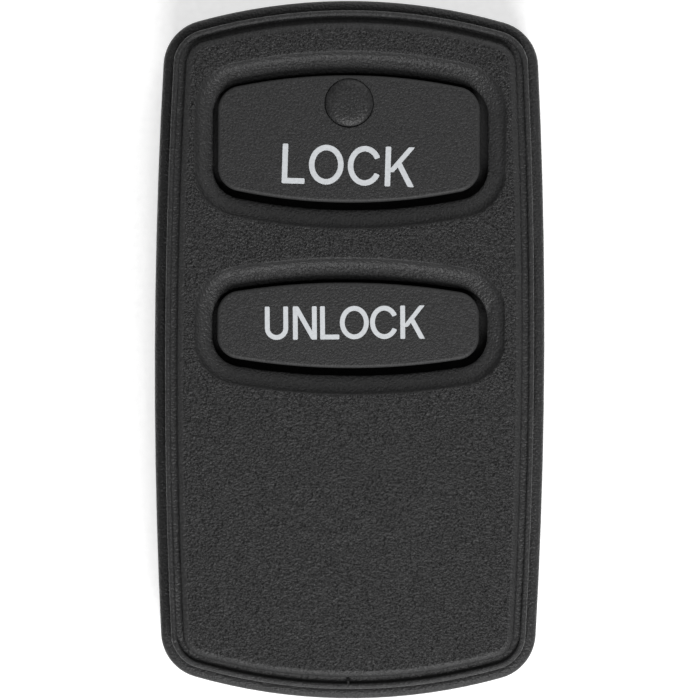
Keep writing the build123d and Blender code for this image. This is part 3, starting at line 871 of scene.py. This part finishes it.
@dataclass
class Letter:
    """One plain capital of even strokes, modelled flat with its capital height as the unit.

    Attributes:
        width: Its width.
        stroke: The width of its strokes.
        corner_radius: The radius of its rounded corners.
        corner_steps: How many steps a rounded corner has.
        corner_turn: The least turn of the outline, in degrees, that makes a corner.
        opening: How far a C's opening reaches to each side of level, in degrees.
        slant_share: The level width of a slanting stroke, as a share of the stroke.
        arm_foot: How high a K's arm starts.
        leg_head: How high a K's leg meets the arm.
        parts: Its strokes.
    """

    width: float
    stroke: float
    corner_radius: float = 0.03
    corner_steps: int = 4
    corner_turn: float = 40.0
    opening: float = 29.0
    slant_share: float = 1.12
    arm_foot: float = 0.36
    leg_head: float = 0.6
    parts: list[bpy.types.Object] = field(default_factory=list)

    def bar(self, *corners: tuple[float, float]) -> None:
        """Adds a straight stroke.

        Args:
            corners: Its four corners, anticlockwise from the lower left.
        """
        deselect_all()
        bpy.ops.mesh.primitive_plane_add()
        part = bpy.context.object
        for index, (x, y) in zip(PLANE_CORNERS, corners):
            part.data.vertices[index].co = (x, y, 0.0)
        self.parts.append(part)

    def stem(self, left: float, low: float = 0.0) -> None:
        """Adds an upright stroke up to the capital height."""
        right = left + self.stroke
        self.bar((left, low), (right, low), (right, 1.0), (left, 1.0))

    def slant(self, foot: tuple[float, float], head: tuple[float, float]) -> None:
        """Adds a slanting stroke with level ends.

        Args:
            foot: The middle of its lower end.
            head: The middle of its upper end.
        """
        half = self.stroke * self.slant_share / 2
        (foot_x, foot_y), (head_x, head_y) = foot, head
        self.bar(
            (foot_x - half, foot_y), (foot_x + half, foot_y), (head_x + half, head_y), (head_x - half, head_y)
        )

    def ring(self, width: float, height: float) -> bpy.types.Object:
        """Adds a round stroke that closes on itself.

        Args:
            width: The width over the stroke.
            height: The height over the stroke.

        Returns:
            The stroke, its middle half the height above the foot of the letter.
        """
        deselect_all()
        bpy.ops.mesh.primitive_circle_add(vertices=ROUND_SIDES, radius=UNIT_RADIUS, fill_type="NGON")
        part = bpy.context.object
        part.scale = (width, height, 1.0)
        part.location = (width / 2, height / 2, 0.0)
        settle(part)
        with edit_mode():
            bpy.ops.mesh.inset(thickness=self.stroke)
            bpy.ops.mesh.delete(type="FACE")
        self.parts.append(part)
        return part

    def cut(self, part: bpy.types.Object, unwanted: Callable[[Vector], bool]) -> None:
        """Deletes some faces of a stroke.

        Args:
            part: The stroke.
            unwanted: Tells whether the face round a middle goes.
        """
        faces = [face.index for face in part.data.polygons if unwanted(face.center)]
        select_only(part, Element.FACE, faces)
        with edit_mode(everything=False):
            bpy.ops.mesh.delete(type="FACE")

    def draw_l(self) -> None:
        """Draws an L."""
        self.stem(0.0)
        self.bar((0.0, 0.0), (self.width, 0.0), (self.width, self.stroke), (0.0, self.stroke))

    def draw_o(self) -> None:
        """Draws an O."""
        self.ring(self.width, 1.0)

    def draw_c(self) -> None:
        """Draws a C, an O with its right side left open."""
        opening = math.radians(self.opening)
        width = self.width / ((1 + math.cos(opening)) / 2)
        middle = Vector((width / 2, 1 / 2, 0.0))

        def in_opening(place: Vector) -> bool:
            """Tells whether a place lies in the opening."""
            reach = place - middle
            return abs(math.atan2(reach.y, reach.x / width)) <= opening

        self.cut(self.ring(width, 1.0), in_opening)

    def draw_u(self) -> None:
        """Draws a U."""
        self.cut(self.ring(self.width, self.width), lambda place: place.y >= self.width / 2)
        foot = self.width / 2 - self.corner_radius
        self.stem(0.0, foot)
        self.stem(self.width - self.stroke, foot)

    def draw_n(self) -> None:
        """Draws an N."""
        end = self.stroke * self.slant_share
        self.stem(0.0)
        self.stem(self.width - self.stroke)
        self.bar((self.width - end, 0.0), (self.width, 0.0), (end, 1.0), (0.0, 1.0))

    def draw_k(self) -> None:
        """Draws a K."""
        start = self.stroke * (1 - self.corner_radius)
        end = self.width - self.stroke * self.slant_share / 2
        rise = (self.leg_head - self.arm_foot) / (1 - self.arm_foot)
        joint = start + (end - start) * rise
        self.stem(0.0)
        self.slant((start, self.arm_foot), (end, 1.0))
        self.slant((end, 0.0), (joint, self.leg_head))

    def corners(self, mesh: bpy.types.Mesh) -> list[int]:
        """Finds the corners of a flat stroke's outline.

        Args:
            mesh: The stroke's mesh.

        Returns:
            The numbers of the vertices where the outline turns sharply.
        """
        uses = Counter(edge for face in mesh.polygons for edge in face.edge_keys)
        neighbours = defaultdict(list)
        for (start, end), count in uses.items():
            if count == 1:
                neighbours[start].append(end)
                neighbours[end].append(start)
        found = []
        for vertex, (before, after) in neighbours.items():
            place = mesh.vertices[vertex].co
            turn = (place - mesh.vertices[before].co).angle(mesh.vertices[after].co - place)
            if turn > math.radians(self.corner_turn):
                found.append(vertex)
        return found

    def round_corners(self, part: bpy.types.Object) -> None:
        """Rounds the corners of a flat stroke, as ink leaves them.

        Args:
            part: The stroke.
        """
        select_only(part, Element.VERTEX, self.corners(part.data))
        with edit_mode(everything=False):
            bpy.ops.mesh.bevel(offset=self.corner_radius, segments=self.corner_steps, affect="VERTICES")

    def solid(self, thickness: float) -> bpy.types.Object:
        """Joins the strokes into one raised letter.

        Args:
            thickness: The letter's thickness.

        Returns:
            The letter.
        """
        for part in self.parts:
            self.round_corners(part)
            with edit_mode():
                bpy.ops.mesh.extrude_region_move(TRANSFORM_OT_translate={"value": (0.0, 0.0, thickness)})
                bpy.ops.mesh.select_all(action="SELECT")
                bpy.ops.mesh.normals_make_consistent(inside=False)
        letter, *others = self.parts
        for other in others:
            choose(letter)
            union = letter.modifiers.new("join", "BOOLEAN")
            union.operation = "UNION"
            union.solver = "EXACT"
            union.object = other
            bpy.ops.object.modifier_apply(modifier=union.name)
            bpy.data.objects.remove(other)
        choose(letter)
        return letter


@dataclass(frozen=True)
class Capital:
    """How a capital is drawn, and its width as a share of its height."""

    width: float
    draw: Callable[[Letter], None]


ALPHABET: dict[str, Capital] = {
    "C": Capital(width=0.8, draw=Letter.draw_c),
    "K": Capital(width=0.74, draw=Letter.draw_k),
    "L": Capital(width=0.575, draw=Letter.draw_l),
    "N": Capital(width=0.72, draw=Letter.draw_n),
    "O": Capital(width=0.87, draw=Letter.draw_o),
    "U": Capital(width=0.7, draw=Letter.draw_u),
}


@dataclass(frozen=True)
class Word:
    """One word printed on a key.

    Attributes:
        text: Its letters.
        body: The body that it rides on.
        lefts: Where each letter starts across, in pixels of the photograph.
        top: Where its letters start down, in pixels.
        bottom: Where they end, in pixels.
        stroke_share: The width of a stroke, as a share of the letters' height.
        turn: How far the word is turned, in degrees.
    """

    text: str
    body: Body
    lefts: tuple[float, ...]
    top: float
    bottom: float
    stroke_share: float
    turn: float


@dataclass
class Lettering:
    """The plain words on the keys, as thin raised prints that follow the keys' crown.

    Attributes:
        words: The words.
        print_finish: The finish of the print.
        thickness: How thick the print is.
    """

    words: tuple[Word, ...] = (
        Word(
            text="LOCK",
            body=Body.LOCK_KEY,
            lefts=(282.0, 308.6, 347.2, 384.3),
            top=144.8,
            bottom=184.4,
            stroke_share=0.141,
            turn=-1.5,
        ),
        Word(
            text="UNLOCK",
            body=Body.UNLOCK_KEY,
            lefts=(265.6, 293.4, 320.4, 340.0, 370.0, 400.0),
            top=306.9,
            bottom=340.0,
            stroke_share=0.147,
            turn=0.7,
        ),
    )
    print_finish: Smooth = Smooth(name="print", colour=(0.56, 0.58, 0.6), roughness=0.5, ripple_size=0.2 * MM)
    thickness: float = 0.02 * MM

    def build(self) -> None:
        """Builds and dresses the words."""
        material = self.print_finish.material()
        for word in self.words:
            piece = self.model(word)
            dress(piece, material)
            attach(piece, word.body.value)
            log.info("%s printed", piece.name)

    def model(self, word: Word) -> bpy.types.Object:
        """Models one word.

        Args:
            word: The word.

        Returns:
            Its raised print.
        """
        height = (word.bottom - word.top) * PHOTO.pixel_size
        hinge = PHOTO.place(word.lefts[0], word.bottom)
        turn = Matrix.Rotation(math.radians(word.turn), 4, "Z")
        letters = []
        for sign, left in zip(word.text, word.lefts):
            capital = ALPHABET[sign]
            letter = Letter(capital.width, word.stroke_share)
            capital.draw(letter)
            piece = letter.solid(self.thickness / height)
            offset = Vector(((left - word.lefts[0]) * PHOTO.pixel_size, 0.0, 0.0))
            piece.data.transform(Matrix.Diagonal((height, height, height, 1.0)))
            piece.data.transform(Matrix.Translation(hinge) @ turn @ Matrix.Translation(offset))
            letters.append(piece)
        deselect_all()
        for piece in letters:
            piece.select_set(True)
        bpy.context.view_layer.objects.active = letters[0]
        bpy.ops.object.join()
        printed = bpy.context.object
        printed.name = f"{word.text.lower()}_word"
        for vertex in printed.data.vertices:
            vertex.co.z += CROWN.height(vertex.co.x, vertex.co.y, KEY_LIFT)
        smooth(printed)
        return printed


@dataclass
class Keys:
    """The two keys with the lamp's lens.

    Attributes:
        plastic: The finish of the keys.
        lens_finish: The finish of the lens.
        lens_height: The height of the lens over the foot of its rim.
        lens_stem_radius: The radius of its stem.
        shoulder_height: The height of its round shoulder.
        shoulder_width: The width of its shoulder.
        shoulder_steps: How many steps stand for the round.
    """

    plastic: MouldedPlastic = MouldedPlastic(
        name="key_plastic",
        colour=(0.034, 0.034, 0.0345),
        roughness=0.5,
        grain_size=0.18 * MM,
        grain_depth=0.08 * MM,
        fine_size=0.11 * MM,
        fine_depth=0.04 * MM,
        edge_radius=0.2 * MM,
        specular=0.2,
        shade_change=0.5,
    )
    lens_finish: MouldedPlastic = MouldedPlastic(
        name="smoked_lens",
        colour=(0.031, 0.031, 0.0315),
        roughness=0.42,
        grain_size=0.2 * MM,
        grain_depth=0.06 * MM,
        fine_size=0.11 * MM,
        fine_depth=0.02 * MM,
        edge_radius=0.05 * MM,
        specular=0.25,
        shade_change=0.6,
    )
    lens_height: float = 1.0 * MM
    lens_stem_radius: float = 1.3 * MM
    shoulder_height: float = 0.44 * MM
    shoulder_width: float = 1.0 * MM
    shoulder_steps: int = 10

    def build(self) -> None:
        """Builds and dresses the keys."""
        material = self.plastic.material()
        for node, body in (("lock_button", Body.LOCK_KEY), ("unlock_button", Body.UNLOCK_KEY)):
            piece = merged_copy(node, f"{node}_cap", body, (KEY_LIFT,))
            mark_polished(piece.data, lambda face: CROWN.carries(piece.data, face, KEY_LIFT))
            dress(piece, material)
            log.info("%s stands for %s", piece.name, node)
        dress(self.lens(), self.lens_finish.material())

    def lens(self) -> bpy.types.Object:
        """Models the lamp's lens, a flat-topped button with a round shoulder, over its stem.

        Returns:
            The lens.
        """
        low, high = (Vector(corner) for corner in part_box("lamp_lens"))
        radius = (high.x - low.x) / 2
        flange = high.z - self.lens_height
        edge = high.z - self.shoulder_height
        profile = [
            (self.lens_stem_radius, low.z),
            (self.lens_stem_radius, flange),
            (radius, flange),
            (radius, edge),
        ]
        for step in range(1, self.shoulder_steps + 1):
            angle = QUARTER_TURN * step / self.shoulder_steps
            inward = self.shoulder_width * (1 - math.cos(angle))
            profile.append((radius - inward, edge + self.shoulder_height * math.sin(angle)))
        lens = turned("lamp_lens_smoked", (low + high) / 2, profile)
        smooth(lens)
        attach(lens, Body.LOCK_KEY.value)
        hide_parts("lamp_lens")
        log.info("%s stands for lamp_lens", lens.name)
        return lens


@dataclass
class InnerParts:
    """The parts that the case hides, each left as it was modelled and given its own finish."""

    silicone: Smooth = Smooth(name="silicone", colour=(0.12, 0.12, 0.13), roughness=0.6)
    board: Smooth = Smooth(name="board", colour=(0.02, 0.14, 0.06), roughness=0.3)
    copper: Metal = Metal(name="copper", colour=(0.72, 0.45, 0.28), roughness=0.35)
    lamp: Smooth = Smooth(name="lamp", colour=(0.75, 0.1, 0.08), roughness=0.15)
    chip: Smooth = Smooth(name="chip", colour=(0.03, 0.03, 0.03), roughness=0.55)
    resistor: Smooth = Smooth(name="resistor", colour=(0.03, 0.03, 0.03), roughness=0.5)
    capacitor: Smooth = Smooth(name="capacitor", colour=(0.45, 0.33, 0.22), roughness=0.4)
    steel: Metal = Metal(name="steel", colour=(0.72, 0.72, 0.71), roughness=0.25)
    contact: Metal = Metal(name="contact", colour=(0.76, 0.74, 0.68), roughness=0.3)
    switch: Smooth = Smooth(name="switch_plastic", colour=(0.06, 0.06, 0.06), roughness=0.45)

    def finishes(self) -> dict[Finish, list[str]]:
        """Tells which nodes share a finish.

        Returns:
            Each finish with the names of its nodes.
        """
        keys = ("lock", "unlock")
        return {
            self.silicone: ["button_pad"],
            self.board: ["circuit_board"],
            self.copper: ["loop_antenna"],
            self.lamp: ["indicator_lamp"],
            self.chip: ["microcontroller", "transmitter_chip"],
            self.resistor: ["chip_resistors"],
            self.capacitor: ["chip_capacitors"],
            self.steel: ["crystal", "coin_cell"],
            self.contact: ["battery_positive_contact", "battery_negative_contact"]
            + [f"{key}_switch_{part}" for key in keys for part in ("cover", "dome")],
            self.switch: [f"{key}_switch_{part}" for key in keys for part in ("body", "plunger")],
        }

    def build(self) -> None:
        """Dresses the inner parts."""
        for finish, nodes in self.finishes().items():
            material = finish.material()
            for node in nodes:
                dress(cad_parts[node], material)
                log.info("%s dressed", node)


@dataclass(frozen=True)
class Softbox:
    """A square light that faces the fob, with the length of its sides and its power in watts."""

    name: str
    place: Place
    size: float
    power: float


@dataclass
class Studio:
    """The floor, the lights and the camera.

    Attributes:
        softboxes: The lights.
        all_round: The strength of the light from all round.
        floor_finish: The finish of the floor.
        floor_size: The length of the floor's sides.
        floor_gap: How far under the fob the floor lies.
        outline_height: The height at which the fob is widest, where the photograph's scale holds.
        focal_length: The camera's focal length, in millimetres.
        sensor_width: The width of its sensor, in millimetres.
    """

    softboxes: tuple[Softbox, ...] = (
        Softbox(name="key_light", place=(0.06, -0.4, 0.42), size=0.32, power=4.1),
        Softbox(name="low_light", place=(0.15, -0.5, 0.16), size=0.3, power=0.2),
        Softbox(name="fill_light", place=(0.15, 0.42, 0.25), size=0.4, power=1.1),
    )
    all_round: float = 0.22
    floor_finish: Smooth = Smooth(name="floor", colour=(0.8, 0.8, 0.8), roughness=0.8, specular=0.0, glow=0.5)
    floor_size: float = 2.0
    floor_gap: float = 0.02 * MM
    outline_height: float = 6.5 * MM
    focal_length: float = 500.0
    sensor_width: float = 36.0

    def build(self) -> None:
        """Sets up the studio."""
        self.floor()
        for softbox in self.softboxes:
            self.light(softbox)
        self.world()
        self.camera()
        bpy.context.scene.view_settings.view_transform = "Standard"

    def floor(self) -> None:
        """Lays a pale floor under the fob."""
        deselect_all()
        bpy.ops.mesh.primitive_plane_add(size=self.floor_size, location=(0.0, 0.0, -self.floor_gap))
        floor = bpy.context.object
        floor.name = "floor"
        settle(floor)
        dress(floor, self.floor_finish.material())

    def light(self, softbox: Softbox) -> None:
        """Adds a light.

        Args:
            softbox: What the light is like.
        """
        data = bpy.data.lights.new(softbox.name, "AREA")
        data.size = softbox.size
        data.energy = softbox.power
        lamp = bpy.data.objects.new(softbox.name, data)
        lamp.location = softbox.place
        lamp.rotation_euler = (-Vector(softbox.place)).to_track_quat("-Z", "Y").to_euler()
        bpy.context.scene.collection.objects.link(lamp)

    def world(self) -> None:
        """Lights everything evenly from all round."""
        world = bpy.data.worlds.new("tent")
        bpy.context.scene.world = world
        world.use_nodes = True
        background = world.node_tree.nodes["Background"]
        background.inputs["Color"].default_value = (*WHITE, 1.0)
        background.inputs["Strength"].default_value = self.all_round

    def camera(self) -> None:
        """Hangs the camera straight above, so that the fob fills the frame as photographed."""
        data = bpy.data.cameras.new("camera")
        data.lens = self.focal_length
        data.sensor_width = self.sensor_width
        distance = PHOTO.pixels * PHOTO.pixel_size * self.focal_length / self.sensor_width
        aim = PHOTO.place(PHOTO.pixels / 2, PHOTO.pixels / 2)
        camera = bpy.data.objects.new("camera", data)
        camera.location = aim + Vector((0.0, 0.0, self.outline_height + distance))
        camera.rotation_euler = Euler((0.0, 0.0, -math.radians(PHOTO.object_turn)))
        bpy.context.scene.collection.objects.link(camera)
        bpy.context.scene.camera = camera


def main() -> None:
    """Builds the fob and its studio."""
    for part in (Case(), Keys(), Lettering(), InnerParts(), Studio()):
        part.build()
        log.info("%s done", type(part).__name__)
    deselect_all()


if __name__ == "__main__":
    main()
